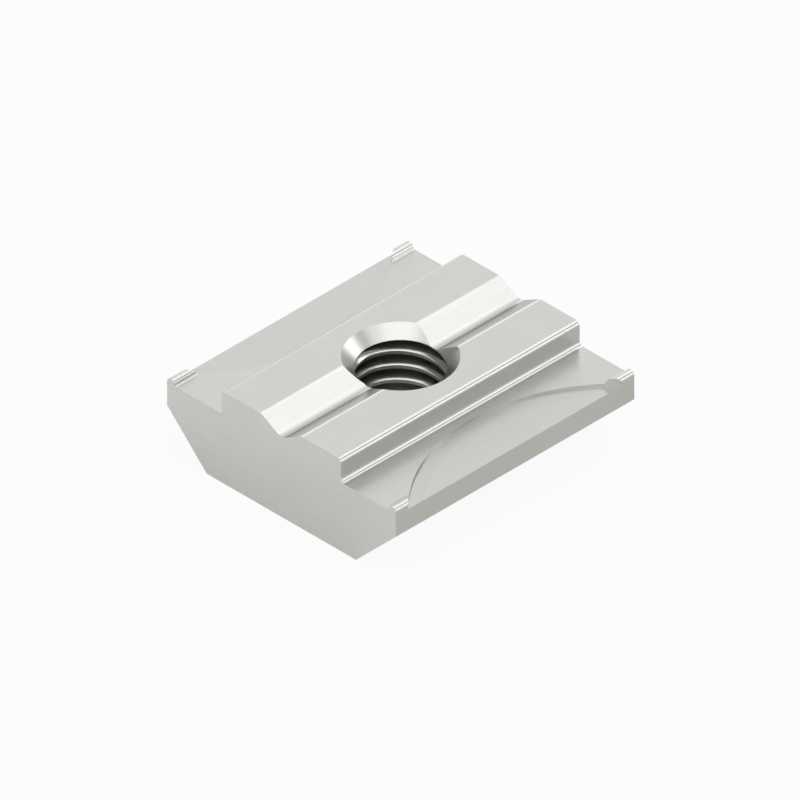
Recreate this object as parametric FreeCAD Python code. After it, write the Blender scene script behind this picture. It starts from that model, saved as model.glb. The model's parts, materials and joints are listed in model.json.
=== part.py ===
import FreeCAD, Part
import math
import os

# T slot nut: a length of steel bar of one section, bored and tapped for a
# screw. Millimetres. Origin: centre of the underside. X runs across the slot,
# Y along it, and Z up, out through the slot's mouth.

# Bar
nut_length = 24.0           # along the slot
nut_width = 23.0            # over both flanges
nut_height = 8.0            # underside to neck top
flange_height = 6.0         # underside to the clamping faces
neck_width = 12.0           # the part that stands in the slot's mouth
neck_edge_radius = 0.35     # outer edges of the neck's top
neck_foot_radius = 0.35     # hollow corner between neck and clamping face
underside_chamfer = 4.0     # 45 degree slope under each flange

# Guide groove along the middle of the neck
groove_depth = 1.0
groove_slope = 30.0         # degrees from level, each side
groove_bottom_radius = 1.2
groove_shoulder_radius = 0.45

# Bead along the outer edge of each clamping face
bead_width = 0.80
bead_height = 0.43
bead_lean = 10.0            # degrees from upright, inner side
bead_top_radius = 0.35
bead_foot_radius = 0.15

# Round relief milled into each flange from above, which leaves the bead only
# near the four corners
relief_radius = 15.0
relief_centre = 22.0        # its axis, from the middle of the nut
relief_depth = 0.2

# Threaded hole: the thread's crests are the wall, both mouths are countersunk
thread_major = 8.0
thread_pitch = 1.25
countersink_diameter = 8.5
countersink_angle = 90.0    # included

thread_flank_share = 1.0825     # tap hole is the major less 1.0825 pitches
crest_radius = (thread_major - thread_flank_share * thread_pitch) / 2
overrun = 1.0                   # how far each cutter runs past the metal
tolerance = 1e-6                # two points closer than this are one


def section_corners():
    # Right half of the section from the underside to the groove's shoulder:
    # x, z and the radius that rounds that corner.
    half_width = nut_width / 2
    lean = math.tan(math.radians(bead_lean))
    slope = math.radians(groove_slope)
    bottom_lift = groove_bottom_radius * (1 / math.cos(slope) - 1)
    groove_half = (groove_depth + bottom_lift) / math.tan(slope)
    bead_foot = half_width - bead_width
    bead_top = flange_height + bead_height
    right = [
        (half_width - underside_chamfer, 0.0, 0.0),
        (half_width, underside_chamfer, 0.0),
        (half_width, bead_top, bead_top_radius),
        (bead_foot + bead_height * lean, bead_top, bead_top_radius),
        (bead_foot, flange_height, bead_foot_radius),
        (neck_width / 2, flange_height, neck_foot_radius),
        (neck_width / 2, nut_height, neck_edge_radius),
        (groove_half, nut_height, groove_shoulder_radius),
    ]
    groove_bottom = (0.0, nut_height - groove_depth - bottom_lift, groove_bottom_radius)
    left = [(-x, z, radius) for x, z, radius in reversed(right)]
    return right + [groove_bottom] + left


def rounded_outline(corners, y):
    # Closed wire at one y: straight sides with a tangent arc at each corner.
    # Where two arcs would meet on a short side, both are held to that side.
    points = [FreeCAD.Vector(x, y, z) for x, z, radius in corners]
    count = len(points)
    sides = [points[(i + 1) % count] - points[i] for i in range(count)]
    half_turns = [sides[i - 1].getAngle(sides[i]) / 2 for i in range(count)]
    setbacks = [corners[i][2] * math.tan(half_turns[i]) for i in range(count)]
    shares = [
        min(1.0, sides[i].Length / max(setbacks[i] + setbacks[(i + 1) % count], tolerance))
        for i in range(count)
    ]
    arcs = []
    for i in range(count):
        setback = setbacks[i] * min(shares[i - 1], shares[i])
        before = FreeCAD.Vector(sides[i - 1]).normalize()
        after = FreeCAD.Vector(sides[i]).normalize()
        start = points[i] - before * setback
        end = points[i] + after * setback
        middle = points[i]
        if setback > tolerance:
            radius = setback / math.tan(half_turns[i])
            inward = (after - before).normalize()
            middle = points[i] + inward * (radius / math.cos(half_turns[i]) - radius)
        arcs.append((start, middle, end))
    edges = []
    for i, (start, middle, end) in enumerate(arcs):
        if start.distanceToPoint(end) > tolerance:
            edges.append(Part.Arc(start, middle, end).toShape())
        following = arcs[(i + 1) % count][0]
        if end.distanceToPoint(following) > tolerance:
            edges.append(Part.LineSegment(end, following).toShape())
    return Part.Wire(edges)


def bar():
    outline = rounded_outline(section_corners(), -nut_length / 2)
    return Part.Face(outline).extrude(FreeCAD.Vector(0, nut_length, 0))


def thread_hole():
    # The bore through, and a cone at each mouth.
    up = FreeCAD.Vector(0, 0, 1)
    slope = 1 / math.tan(math.radians(countersink_angle / 2))
    cone_height = (countersink_diameter / 2 - crest_radius) * slope
    cone_length = cone_height + overrun
    cone_radius = crest_radius + cone_length / slope
    hole = Part.makeCylinder(
        crest_radius, nut_height + 2 * overrun, FreeCAD.Vector(0, 0, -overrun), up
    )
    top = Part.makeCone(
        crest_radius, cone_radius, cone_length, FreeCAD.Vector(0, 0, nut_height - cone_height), up
    )
    bottom = Part.makeCone(
        crest_radius, cone_radius, cone_length, FreeCAD.Vector(0, 0, cone_height), -up
    )
    return hole.fuse([top, bottom])


def relief_cutter(side):
    # A sharp-cornered round cutter, standing beside the nut.
    floor = flange_height - relief_depth
    return Part.makeCylinder(
        relief_radius,
        relief_depth + bead_height + overrun,
        FreeCAD.Vector(side * relief_centre, 0, floor),
        FreeCAD.Vector(0, 0, 1),
    )


def t_slot_nut():
    nut = bar().cut([thread_hole(), relief_cutter(1), relief_cutter(-1)])
    return nut.removeSplitter()


os.makedirs("parts", exist_ok=True)
t_slot_nut().exportStep("parts/t_slot_nut.step")
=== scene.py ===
import bmesh
import bpy
import json
import math
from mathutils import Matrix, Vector


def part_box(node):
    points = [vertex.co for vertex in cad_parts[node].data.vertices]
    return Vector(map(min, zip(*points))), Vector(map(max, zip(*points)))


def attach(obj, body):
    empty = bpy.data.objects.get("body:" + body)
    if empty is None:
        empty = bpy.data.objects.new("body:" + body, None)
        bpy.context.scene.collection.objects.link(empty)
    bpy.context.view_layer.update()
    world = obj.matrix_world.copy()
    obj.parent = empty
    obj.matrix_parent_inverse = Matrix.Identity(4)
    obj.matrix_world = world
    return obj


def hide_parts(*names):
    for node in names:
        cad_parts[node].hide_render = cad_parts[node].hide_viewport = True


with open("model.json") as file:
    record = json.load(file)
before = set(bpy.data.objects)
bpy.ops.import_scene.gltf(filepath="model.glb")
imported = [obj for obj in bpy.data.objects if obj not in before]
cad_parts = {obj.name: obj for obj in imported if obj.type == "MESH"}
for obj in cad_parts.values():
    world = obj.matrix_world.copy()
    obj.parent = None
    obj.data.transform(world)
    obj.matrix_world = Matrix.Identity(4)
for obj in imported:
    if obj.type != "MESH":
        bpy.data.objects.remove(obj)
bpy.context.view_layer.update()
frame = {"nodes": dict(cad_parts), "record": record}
print("Frame loaded:", ", ".join(frame["nodes"]))

# A nut for a 12 mm T slot, with an M8 thread: a drawn steel bar, sawn, milled, bored and tapped.
# It is modelled in millimetres, like its drawing, and brought to metres at the end.

perMetre = 1000.0   # millimetres
tiny = 0.001        # mm, two places closer than this are one
flatAngle = 1.0     # degrees, faces that meet at less than this are one
overrun = 1.0       # mm, how far a cutter runs past the metal


def linearColour(hexColour):
    # sRGB hex to the linear colour that a shader takes
    parts = [int(hexColour[i:i + 2], 16) / 255 for i in (1, 3, 5)]
    linear = [c / 12.92 if c <= 0.04045 else ((c + 0.055) / 1.055) ** 2.4 for c in parts]
    return (*linear, 1.0)


def addNode(tree, kind, settings=None, links=None):
    # Settings go to the node's own properties, or to its sockets by name or number.
    # Links bring other nodes' sockets to its own.
    node = tree.nodes.new(kind)
    for name, value in (settings or {}).items():
        if isinstance(name, str) and hasattr(node, name):
            setattr(node, name, value)
        else:
            node.inputs[name].default_value = value
    for name, socket in (links or {}).items():
        tree.links.new(socket, node.inputs[name])
    return node


# Zinc on steel. Bright zinc plating is a few microns thick, so it keeps the marks of the cutter below it.
# The eye sees a pale, neutral metal with a soft, slightly blurred sheen.

finish = {
    "zinc": "#D0CFCC",
    "zincThin": "#CDCCC9",      # where the plating is a little thinner
    "edgeTint": "#DCDCDA",      # at a glancing angle zinc reflects less than a mirror would
    "roughness": 0.30,
    "roughnessSpread": 0.015,
    "blotchSize": 2.5,          # mm, drift of the plating's tone
    "blotchDetail": 2.0,
    "markSpacing": 0.22,        # mm, drawing lines and cutter marks, coarser than real so that they show
    "markDetail": 1.0,
    "markLength": 40.0,         # how many times longer than wide a drawn or sawn line is
    "markDepth": 0.00000004,    # m
    "threadShade": "#A09F9C",   # painted shade in the thread's roots, darker than the zinc
    "shadeStart": 0.12,         # mm outside the crests
    "shadeEnd": 0.50,
}

# what differs on the sawn ends, in the milled reliefs and in the thread
# the sawn ends' zinc is painted paler: painted light, standing in for the brighter light that their faces
# catch
paintedLightOnSawn = {"zinc": "#EEECEB", "zincThin": "#EBE9E8"}
onMilled = {"edgeTint": "#B4B4B2"}
onTapped = {"roughness": 0.16}

noiseRange = (0.3, 0.7)     # where most of a noise texture lies
sumRange = (0.7, 1.3)       # and most of the sum of two


def zincPlatedSteel(name, markCoordinate, differences=None, shade=None):
    # markCoordinate(tree, position) gives the socket along which the cutter's marks repeat, and
    # shade(tree, position, zinc) a node that paints shade into the zinc's colour
    coat = {**finish, **(differences or {})}
    material = bpy.data.materials.new(name)
    material.use_nodes = True
    tree = material.node_tree
    shader = tree.nodes["Principled BSDF"]
    shader.inputs["Metallic"].default_value = 1.0
    shader.inputs["Specular Tint"].default_value = linearColour(coat["edgeTint"])
    position = addNode(tree, "ShaderNodeTexCoord").outputs["Object"]

    blotch = addNode(
        tree, "ShaderNodeTexNoise",
        {"Scale": perMetre / coat["blotchSize"], "Detail": coat["blotchDetail"]},
        {"Vector": position},
    )
    marks = addNode(
        tree, "ShaderNodeTexNoise",
        {"Scale": perMetre / coat["markSpacing"], "Detail": coat["markDetail"]},
        {"Vector": markCoordinate(tree, position)},
    )
    tone = addNode(
        tree, "ShaderNodeMath", {"operation": "ADD"}, {0: blotch.outputs["Fac"], 1: marks.outputs["Fac"]}
    )
    share = addNode(
        tree, "ShaderNodeMapRange", {"From Min": sumRange[0], "From Max": sumRange[1]},
        {"Value": tone.outputs["Value"]},
    )
    colour = addNode(
        tree, "ShaderNodeMixRGB",
        {"Color1": linearColour(coat["zinc"]), "Color2": linearColour(coat["zincThin"])},
        {"Fac": share.outputs["Result"]},
    )
    # painted shade, where the coat has it
    if shade:
        colour = shade(tree, position, colour)
    tree.links.new(colour.outputs["Color"], shader.inputs["Base Color"])

    blur = addNode(
        tree, "ShaderNodeMapRange",
        {
            "From Min": noiseRange[0],
            "From Max": noiseRange[1],
            "To Min": coat["roughness"] - coat["roughnessSpread"],
            "To Max": coat["roughness"] + coat["roughnessSpread"],
        },
        {"Value": marks.outputs["Fac"]},
    )
    tree.links.new(blur.outputs["Result"], shader.inputs["Roughness"])
    bump = addNode(
        tree, "ShaderNodeBump", {"Strength": 1.0, "Distance": coat["markDepth"]},
        {"Height": marks.outputs["Fac"]},
    )
    tree.links.new(bump.outputs["Normal"], shader.inputs["Normal"])
    return material


def squeezed(tree, position, scale):
    # marks are as much longer along an axis as its scale is smaller
    mapping = addNode(tree, "ShaderNodeMapping", {"Scale": scale}, {"Vector": position})
    return mapping.outputs["Vector"]


def alongTheBar(tree, position):
    # drawn lines run the length of the bar
    return squeezed(tree, position, (1.0, 1.0 / finish["markLength"], 1.0))


def acrossTheEnd(tree, position):
    # the saw's lines run across the bar
    return squeezed(tree, position, (1.0 / finish["markLength"], 1.0, 1.0))


def fromTheAxis(tree, x, y):
    # distance from an upright axis
    flat = addNode(tree, "ShaderNodeCombineXYZ", links={"X": x, "Y": y})
    distance = addNode(
        tree, "ShaderNodeVectorMath", {"operation": "LENGTH"}, {"Vector": flat.outputs["Vector"]}
    )
    return distance.outputs["Value"]


def roundTheAxis(tree, position, axisX=0.0):
    # turned and milled rings round an upright axis, the same on both sides of the nut
    parts = addNode(tree, "ShaderNodeSeparateXYZ", links={"Vector": position})
    side = addNode(tree, "ShaderNodeMath", {"operation": "ABSOLUTE"}, {0: parts.outputs["X"]})
    offset = addNode(
        tree, "ShaderNodeMath", {"operation": "SUBTRACT", 1: axisX / perMetre}, {0: side.outputs["Value"]}
    )
    distance = fromTheAxis(tree, offset.outputs["Value"], parts.outputs["Y"])
    ring = addNode(tree, "ShaderNodeCombineXYZ", links={"X": distance, "Z": parts.outputs["Z"]})
    return ring.outputs["Vector"]


# The bar's section and its holes, in millimetres. What the frame knows is read from it.

low, high = (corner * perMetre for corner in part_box("t_slot_nut"))
mounts = {mount["name"]: mount for mount in frame["record"]["mounts"]}

nut = {
    "flangeHeight": mounts["clamp_face_right"]["pos_m"][2] * perMetre,
    "undersideChamfer": 4.0,
    "neckWidth": 12.0,
    "neckEdgeRadius": 0.35,
    "neckFootRadius": 0.35,
    "grooveDepth": 1.0,
    "grooveSlope": 29.2,            # degrees from level
    "grooveBottomRadius": 0.9,
    "grooveShoulderRadius": 0.6,
    "beadWidth": 0.80,
    "beadHeight": 0.43,
    "beadLean": 10.0,               # degrees from upright
    "beadTopRadius": 0.35,
    "beadFootRadius": 0.15,
    "reliefRadius": 15.0,
    "reliefCentre": 22.0,           # from the middle of the nut
    "reliefDepth": 0.2,
    "reliefSides": 360,
    "crestRadius": mounts["thread"]["dims"]["r_mm"],
    "countersinkDiameter": 8.5,
    "boreSides": 144,
    "threadMajor": 8.0,
    "threadPitch": 1.25,
    "flankAngle": 60.0,             # degrees between two flanks
    "threadStart": -0.11,           # height of the lowest groove's middle where it crosses +X
    "threadTurns": 5.68,            # ends before it would break into the guide groove
    "threadMargin": 0.02,           # plain wall left below each countersink
    "crestChamfer": 0.04,           # how deep the crests are eased
    "crestSlope": 50.0,             # degrees from level
    "toothFoot": 0.07,              # of a pitch, how far the tap's tooth reaches in past the crests
    "sharpAngle": 28.0,             # degrees, edges that turn more than this stay sharp
}

# the section's corners, worked out from those
halfWidth = high.x
halfNeck = nut["neckWidth"] / 2
grooveSlope = math.radians(nut["grooveSlope"])
bottomLift = nut["grooveBottomRadius"] * (1 / math.cos(grooveSlope) - 1)
grooveDrop = nut["grooveDepth"] + bottomLift    # down to where the slopes would meet
halfGroove = grooveDrop / math.tan(grooveSlope)
beadFoot = halfWidth - nut["beadWidth"]
beadTop = nut["flangeHeight"] + nut["beadHeight"]
beadShift = nut["beadHeight"] * math.tan(math.radians(nut["beadLean"]))


def startOn(piece, kind):
    # into edit mode on one piece, working on its EDGE or FACE
    bpy.ops.object.select_all(action="DESELECT")
    piece.select_set(True)
    bpy.context.view_layer.objects.active = piece
    bpy.ops.object.mode_set(mode="EDIT")
    bpy.ops.mesh.select_mode(type=kind)


def pick(piece, kind, test, add=False):
    # selects the faces or edges of which every corner passes the test
    bpy.ops.mesh.select_mode(type=kind)
    if not add:
        bpy.ops.mesh.select_all(action="DESELECT")
    mesh = bmesh.from_edit_mesh(piece.data)
    for part in mesh.faces if kind == "FACE" else mesh.edges:
        if all(test(corner.co) for corner in part.verts):
            part.select_set(True)
    mesh.select_flush_mode()
    bmesh.update_edit_mesh(piece.data)


def near(a, b):
    return abs(a - b) < tiny


def slitTop(piece, x, z):
    # one cut along the bar through the level faces at that height
    pick(piece, "FACE", lambda c: near(c.z, z))
    bpy.ops.mesh.bisect(plane_co=(x, 0, 0), plane_no=(1, 0, 0), threshold=tiny)


def pickLongEdges(piece, x, z):
    # at that corner of the section, right and left
    pick(piece, "EDGE", lambda c: near(c.x, x) and near(c.z, z))
    pick(piece, "EDGE", lambda c: near(c.x, -x) and near(c.z, z), add=True)


def roundCorner(piece, x, z, radius, turn, segments):
    pickLongEdges(piece, x, z)
    bpy.ops.mesh.bevel(
        offset_type="OFFSET", offset=radius * math.tan(math.radians(turn / 2)), segments=segments,
        profile=0.5, affect="EDGES", clamp_overlap=False,
    )


def slopedBar():
    # a plain bar up to the clamping faces, with a slope under each flange
    flange = nut["flangeHeight"]
    bpy.ops.object.select_all(action="DESELECT")
    bpy.ops.mesh.primitive_cube_add(
        size=1, location=(0, 0, flange / 2), scale=(2 * halfWidth, high.y - low.y, flange)
    )
    bar = bpy.context.object
    bar.name = "tapped_nut"
    bpy.ops.object.transform_apply(location=True, rotation=True, scale=True)
    startOn(bar, "EDGE")
    pickLongEdges(bar, halfWidth, 0)
    bpy.ops.mesh.bevel(offset_type="OFFSET", offset=nut["undersideChamfer"], segments=1, affect="EDGES")
    return bar


def raiseNeck(bar):
    flange = nut["flangeHeight"]
    for x in (-halfNeck, halfNeck):
        slitTop(bar, x, flange)
    pick(bar, "FACE", lambda c: near(c.z, flange) and abs(c.x) < halfNeck + tiny)
    bpy.ops.mesh.extrude_region_move(TRANSFORM_OT_translate={"value": (0, 0, high.z - flange)})


def sinkGroove(bar):
    for x in (-halfGroove, 0, halfGroove):
        slitTop(bar, x, high.z)
    pick(bar, "EDGE", lambda c: near(c.z, high.z) and near(c.x, 0))
    bpy.ops.transform.translate(value=(0, 0, -grooveDrop))


def raiseBeads(bar):
    flange = nut["flangeHeight"]
    for x in (-beadFoot, beadFoot):
        slitTop(bar, x, flange)
    pick(bar, "FACE", lambda c: near(c.z, flange) and abs(c.x) > beadFoot - tiny)
    bpy.ops.mesh.extrude_region_move(TRANSFORM_OT_translate={"value": (0, 0, nut["beadHeight"])})
    for side in (-1, 1):
        pick(bar, "EDGE", lambda c: near(c.z, beadTop) and near(c.x, side * beadFoot))
        bpy.ops.transform.translate(value=(side * beadShift, 0, 0))


def roundCorners(bar):
    # from the outside of the flange to the groove's bottom
    flange = nut["flangeHeight"]
    leanTurn = 90 - nut["beadLean"]
    bottomTurn = 2 * nut["grooveSlope"]
    roundCorner(bar, halfWidth, beadTop, nut["beadTopRadius"], 90, segments=8)
    roundCorner(bar, beadFoot + beadShift, beadTop, nut["beadTopRadius"], leanTurn, segments=8)
    roundCorner(bar, beadFoot, flange, nut["beadFootRadius"], leanTurn, segments=5)
    roundCorner(bar, halfNeck, flange, nut["neckFootRadius"], 90, segments=8)
    roundCorner(bar, halfNeck, high.z, nut["neckEdgeRadius"], 90, segments=8)
    roundCorner(bar, halfGroove, high.z, nut["grooveShoulderRadius"], nut["grooveSlope"], segments=6)
    roundCorner(bar, 0, high.z - grooveDrop, nut["grooveBottomRadius"], bottomTurn, segments=12)


def drawnBar():
    bar = slopedBar()
    raiseNeck(bar)
    sinkGroove(bar)
    raiseBeads(bar)
    bpy.ops.mesh.select_all(action="SELECT")
    bpy.ops.mesh.dissolve_limited(angle_limit=math.radians(flatAngle))
    roundCorners(bar)
    bpy.ops.object.mode_set(mode="OBJECT")
    return bar


def cutWith(piece, cutter, material):
    # takes the cutter's form out of the piece, and leaves its material on the cut
    cutter.data.materials.append(material)
    modifier = piece.modifiers.new("cut", "BOOLEAN")
    modifier.operation = "DIFFERENCE"
    modifier.solver = "EXACT"
    modifier.material_mode = "TRANSFER"
    modifier.object = cutter
    bpy.context.view_layer.objects.active = piece
    bpy.ops.object.modifier_apply(modifier=modifier.name)
    bpy.data.objects.remove(cutter, do_unlink=True)


def reliefCutter(side):
    # a sharp-cornered end mill, standing beside the nut
    floor = nut["flangeHeight"] - nut["reliefDepth"]
    tall = high.z - floor + overrun
    bpy.ops.object.select_all(action="DESELECT")
    bpy.ops.mesh.primitive_cylinder_add(
        vertices=nut["reliefSides"], radius=nut["reliefRadius"], depth=tall,
        location=(side * nut["reliefCentre"], 0, floor + tall / 2),
    )
    cutter = bpy.context.object
    bpy.ops.object.transform_apply(location=True, rotation=True, scale=True)
    return cutter


def countersinkHeight():
    # the cones are 90 degrees, so as high as they are wide
    return nut["countersinkDiameter"] / 2 - nut["crestRadius"]


def boreCutter():
    # The tapping drill, with a countersink spreading from each end. It is turned by half a side, so that
    # no edge of it meets one of the tap's.
    cone = countersinkHeight()
    spread = 1 + (cone + overrun) / nut["crestRadius"]
    halfSide = math.radians(180 / nut["boreSides"])
    bpy.ops.object.select_all(action="DESELECT")
    bpy.ops.mesh.primitive_cylinder_add(
        vertices=nut["boreSides"], radius=nut["crestRadius"], depth=high.z - 2 * cone,
        location=(0, 0, high.z / 2), rotation=(0, 0, halfSide),
    )
    cutter = bpy.context.object
    bpy.ops.object.transform_apply(location=True, rotation=True, scale=True)
    startOn(cutter, "FACE")
    for level, way in ((high.z - cone, 1), (cone, -1)):
        pick(cutter, "FACE", lambda c: near(c.z, level))
        bpy.ops.mesh.extrude_region_move(TRANSFORM_OT_translate={"value": (0, 0, way * (cone + overrun))})
        bpy.ops.transform.resize(value=(spread, spread, 1), center_override=(0, 0, 0))
    bpy.ops.mesh.select_all(action="SELECT")
    bpy.ops.mesh.normals_make_consistent(inside=False)
    bpy.ops.object.mode_set(mode="OBJECT")
    return cutter


def tapTooth():
    # Outline of one tooth of the tap. Its flanks run from the root in to the lip. From there a wider foot
    # eases the crests, and ends where neighbouring turns still stand apart.
    pitch = nut["threadPitch"]
    root = nut["threadMajor"] / 2
    lip = nut["crestRadius"] + nut["crestChamfer"]
    inner = nut["crestRadius"] - pitch * nut["toothFoot"]
    depth = root - lip
    rootWidth = pitch / 8   # the standard flat at the root
    lipWidth = rootWidth + 2 * depth * math.tan(math.radians(nut["flankAngle"] / 2))
    innerWidth = lipWidth + 2 * (lip - inner) * math.tan(math.radians(nut["crestSlope"]))
    middle = (0, 0, nut["threadStart"])
    bpy.ops.object.select_all(action="DESELECT")
    bpy.ops.mesh.primitive_plane_add(
        size=depth, location=((root + lip) / 2, 0, nut["threadStart"]), rotation=(math.radians(90), 0, 0)
    )
    tap = bpy.context.object
    bpy.ops.object.transform_apply(location=True, rotation=True, scale=True)
    startOn(tap, "EDGE")
    for radius, width in ((root, rootWidth), (lip, lipWidth)):
        pick(tap, "EDGE", lambda c: near(c.x, radius))
        bpy.ops.transform.resize(value=(1, 1, width / depth), center_override=middle)
    bpy.ops.mesh.extrude_region_move(TRANSFORM_OT_translate={"value": (inner - lip, 0, 0)})
    bpy.ops.transform.resize(value=(1, 1, innerWidth / lipWidth), center_override=middle)

    # its faces and the line across the lip go
    bpy.ops.mesh.select_all(action="SELECT")
    bpy.ops.mesh.delete(type="ONLY_FACE")
    pick(tap, "EDGE", lambda c: near(c.x, lip))
    bpy.ops.mesh.delete(type="EDGE")
    bpy.ops.object.mode_set(mode="OBJECT")
    return tap


def tapCutter():
    # the tooth, swept up a right-hand helix
    tap = tapTooth()
    screw = tap.modifiers.new("helix", "SCREW")
    screw.axis = "Z"
    screw.angle = math.radians(360) * nut["threadTurns"]
    screw.screw_offset = nut["threadPitch"] * nut["threadTurns"]
    screw.steps = screw.render_steps = round(nut["boreSides"] * nut["threadTurns"])
    bpy.ops.object.modifier_apply(modifier=screw.name)

    # both ends stop at the countersinks
    startOn(tap, "FACE")
    bpy.ops.mesh.select_all(action="SELECT")
    bpy.ops.mesh.fill_holes(sides=0)
    margin = countersinkHeight() + nut["threadMargin"]
    bpy.ops.mesh.select_all(action="SELECT")
    bpy.ops.mesh.bisect(
        plane_co=(0, 0, high.z - margin), plane_no=(0, 0, 1), use_fill=True, clear_outer=True
    )
    bpy.ops.mesh.select_all(action="SELECT")
    bpy.ops.mesh.bisect(plane_co=(0, 0, margin), plane_no=(0, 0, 1), use_fill=True, clear_inner=True)
    bpy.ops.mesh.select_all(action="SELECT")
    bpy.ops.mesh.normals_make_consistent(inside=False)
    bpy.ops.object.mode_set(mode="OBJECT")
    return tap


def paintShadeInRoots(tree, position, zinc):
    # painted shade: the thread's colour darkens from its crests to its roots, standing in for the shade
    # deep in its grooves
    parts = addNode(tree, "ShaderNodeSeparateXYZ", links={"Vector": position})
    depth = addNode(
        tree, "ShaderNodeMapRange",
        {
            "From Min": (nut["crestRadius"] + finish["shadeStart"]) / perMetre,
            "From Max": (nut["crestRadius"] + finish["shadeEnd"]) / perMetre,
        },
        {"Value": fromTheAxis(tree, parts.outputs["X"], parts.outputs["Y"])},
    )
    return addNode(
        tree, "ShaderNodeMixRGB", {"Color2": linearColour(finish["threadShade"])},
        {"Fac": depth.outputs["Result"], "Color1": zinc.outputs["Color"]},
    )


def millMarks(tree, position):
    return roundTheAxis(tree, position, nut["reliefCentre"])


def coverEnds(piece, slot):
    # gives both sawn faces the material in that slot
    startOn(piece, "FACE")
    for y in (low.y, high.y):
        pick(piece, "FACE", lambda c: near(c.y, y))
        piece.active_material_index = slot
        bpy.ops.object.material_slot_assign()
    bpy.ops.object.mode_set(mode="OBJECT")


def smoothAndScale(piece):
    # The normals are evened while the nut is in millimetres: in metres its faces are so small that the
    # modifier takes them all as equal.
    bpy.ops.object.select_all(action="DESELECT")
    piece.select_set(True)
    bpy.context.view_layer.objects.active = piece
    bpy.ops.object.shade_smooth_by_angle(angle=math.radians(nut["sharpAngle"]))
    evened = piece.modifiers.new("even", "WEIGHTED_NORMAL")
    evened.keep_sharp = True
    evened.weight = 100     # the flat faces stay flat, and the rounds between them take up the turn
    bpy.ops.object.modifier_apply(modifier=evened.name)
    piece.scale = (1 / perMetre, 1 / perMetre, 1 / perMetre)
    bpy.ops.object.transform_apply(location=True, rotation=True, scale=True)


# The same plating over five surfaces. The drawn one is even, with faint lines along the bar, and the sawn
# one is painted paler, as painted light, with lines across it. The milled and the countersunk ones have
# fine rings, and the milled one is duller when seen low. The tapped one glints more sharply, over painted
# shade in its roots.
drawn = zincPlatedSteel("zincPlatedSteelDrawn", alongTheBar)
sawn = zincPlatedSteel("zincPlatedSteelSawn", acrossTheEnd, paintedLightOnSawn)
milled = zincPlatedSteel("zincPlatedSteelMilled", millMarks, onMilled)
countersunk = zincPlatedSteel("zincPlatedSteelCountersunk", roundTheAxis)
tapped = zincPlatedSteel("zincPlatedSteelTapped", roundTheAxis, onTapped, paintShadeInRoots)
print("Materials made")

body = drawnBar()
body.data.materials.append(drawn)
body.data.materials.append(sawn)
print("Bar drawn")
for side in (1, -1):
    cutWith(body, reliefCutter(side), milled)
print("Reliefs milled")
cutWith(body, boreCutter(), countersunk)
cutWith(body, tapCutter(), tapped)
print("Hole bored, countersunk and tapped")
coverEnds(body, slot=1)
smoothAndScale(body)

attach(body, "root")
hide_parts("t_slot_nut")
print("Nut finished:", len(body.data.polygons), "faces")

# Floor, light and camera

studio = {
    "floorSize": 0.6,               # m
    "floorColour": "#CDD0CB",
    "floorWhiteToCamera": 0.93,     # share of plain white that the camera sees, so the shadow stays faint
    "floorWhiteToMetal": 0.1,       # and the share that the metal reflects
    "tent": 1.67,                   # brightness of the white tent round the nut
}

# Round cards inside the tent, white or dark, each laid over those before it: the azimuth and elevation of
# its middle, its radius and its soft edge in degrees, and its brightness
cards = {
    "darkAtTheLeft": {"azimuth": 182, "elevation": 41, "radius": 36, "edge": 6, "brightness": 0.2},
    "darkAtTheFront": {"azimuth": 314, "elevation": 29, "radius": 44, "edge": 36, "brightness": 0.22},
    "keyLight": {"azimuth": 317, "elevation": 55, "radius": 31, "edge": 8, "brightness": 1.58},
    "backLight": {"azimuth": 66, "elevation": 26, "radius": 23.5, "edge": 7, "brightness": 2.4},
    "darkAtTheRight": {"azimuth": 51, "elevation": 40, "radius": 14, "edge": 7, "brightness": 0.2},
    "lowLight": {"azimuth": 64, "elevation": -9, "radius": 15, "edge": 7, "brightness": 2.4},
    "darkAtTheBack": {"azimuth": 101, "elevation": 20, "radius": 19, "edge": 6, "brightness": 0.2},
    "edgeLight": {"azimuth": 146, "elevation": 6, "radius": 9, "edge": 5, "brightness": 2.3},
}


def makeFloor():
    bpy.ops.object.select_all(action="DESELECT")
    bpy.ops.mesh.primitive_plane_add(size=studio["floorSize"])
    floor = bpy.context.object
    floor.name = "floor"
    material = bpy.data.materials.new("paleFloor")
    material.use_nodes = True
    tree = material.node_tree
    tree.nodes.clear()
    card = addNode(tree, "ShaderNodeBsdfDiffuse", {"Color": linearColour(studio["floorColour"])})
    white = addNode(tree, "ShaderNodeEmission", {"Strength": 1.0})
    ray = addNode(tree, "ShaderNodeLightPath")
    toMetal = addNode(
        tree, "ShaderNodeMath", {"operation": "ADD"},
        {0: ray.outputs["Is Glossy Ray"], 1: ray.outputs["Is Transmission Ray"]},
    )
    metalShare = addNode(
        tree, "ShaderNodeMath", {"operation": "MULTIPLY", 1: studio["floorWhiteToMetal"]},
        {0: toMetal.outputs["Value"]},
    )
    share = addNode(
        tree, "ShaderNodeMath", {"operation": "MULTIPLY_ADD", 1: studio["floorWhiteToCamera"]},
        {0: ray.outputs["Is Camera Ray"], 2: metalShare.outputs["Value"]},
    )
    mix = addNode(
        tree, "ShaderNodeMixShader",
        links={"Fac": share.outputs["Value"], 1: card.outputs["BSDF"], 2: white.outputs["Emission"]},
    )
    addNode(tree, "ShaderNodeOutputMaterial", links={"Surface": mix.outputs["Shader"]})
    floor.data.materials.append(material)


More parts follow.
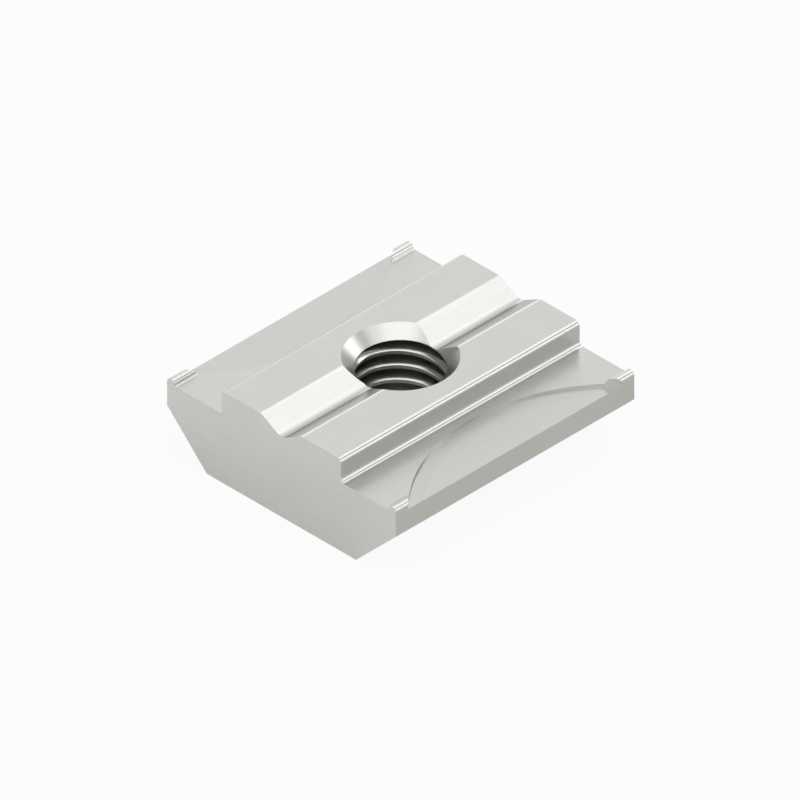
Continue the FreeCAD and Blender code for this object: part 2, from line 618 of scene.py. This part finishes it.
def layCard(tree, direction, under, card):
    # mixes one card's brightness over what lies behind it
    azimuth = math.radians(card["azimuth"])
    elevation = math.radians(card["elevation"])
    middle = Vector((math.cos(azimuth), math.sin(azimuth), math.tan(elevation))).normalized()
    cosine = addNode(
        tree, "ShaderNodeVectorMath", {"operation": "DOT_PRODUCT", 1: middle}, {0: direction}
    )
    angle = addNode(tree, "ShaderNodeMath", {"operation": "ARCCOSINE"}, {0: cosine.outputs["Value"]})
    cover = addNode(
        tree, "ShaderNodeMapRange",
        {
            "interpolation_type": "SMOOTHSTEP",
            "From Min": math.radians(card["radius"] - card["edge"]),
            "From Max": math.radians(card["radius"] + card["edge"]),
            "To Min": 1.0,
            "To Max": 0.0,
        },
        {"Value": angle.outputs["Value"]},
    )
    change = addNode(tree, "ShaderNodeMath", {"operation": "SUBTRACT", 0: card["brightness"]}, {1: under})
    over = addNode(
        tree, "ShaderNodeMath", {"operation": "MULTIPLY_ADD"},
        {0: cover.outputs["Result"], 1: change.outputs["Value"], 2: under},
    )
    return over.outputs["Value"]


def makeSky():
    # the tent and its cards, which the camera sees as plain white
    world = bpy.data.worlds.new("softStudio")
    bpy.context.scene.world = world
    world.use_nodes = True
    tree = world.node_tree
    tree.nodes.clear()
    direction = addNode(tree, "ShaderNodeTexCoord").outputs["Generated"]
    tent = addNode(tree, "ShaderNodeValue")
    brightness = tent.outputs["Value"]
    brightness.default_value = studio["tent"]
    for card in cards.values():
        brightness = layCard(tree, direction, brightness, card)
    plainWhite = linearColour("#FFFFFF")
    sky = addNode(tree, "ShaderNodeBackground", {"Color": plainWhite}, {"Strength": brightness})
    white = addNode(tree, "ShaderNodeBackground", {"Color": plainWhite, "Strength": 1.0})
    ray = addNode(tree, "ShaderNodeLightPath")
    mix = addNode(
        tree, "ShaderNodeMixShader",
        links={
            "Fac": ray.outputs["Is Camera Ray"],
            1: sky.outputs["Background"],
            2: white.outputs["Background"],
        },
    )
    addNode(tree, "ShaderNodeOutputWorld", links={"Surface": mix.outputs["Shader"]})


# The photograph is a true isometric view: its scale, and where the middle of the underside falls in it
view = {
    "towards": (1, -1, 1),          # the camera, as seen from the nut
    "pixels": 800,
    "pixelsPerMillimetre": 14.06,
    "origin": (400.7, 448.0),
    "distance": 0.2,                # m
    "clipStart": 0.001,             # m
}


def makeCamera():
    data = bpy.data.cameras.new("camera")
    camera = bpy.data.objects.new("camera", data)
    bpy.context.scene.collection.objects.link(camera)
    turn = Vector(view["towards"]).to_track_quat("Z", "Y")
    pixel = 1 / (view["pixelsPerMillimetre"] * perMetre)
    middle = view["pixels"] / 2
    right = (middle - view["origin"][0]) * pixel
    up = (view["origin"][1] - middle) * pixel
    data.type = "ORTHO"
    data.ortho_scale = view["pixels"] * pixel
    data.clip_start = view["clipStart"]
    camera.rotation_mode = "QUATERNION"
    camera.rotation_quaternion = turn
    camera.location = turn @ Vector((right, up, view["distance"]))
    bpy.context.scene.camera = camera


makeFloor()
makeSky()
makeCamera()
bpy.context.scene.view_settings.view_transform = "Standard"
print("Floor, light and camera ready")
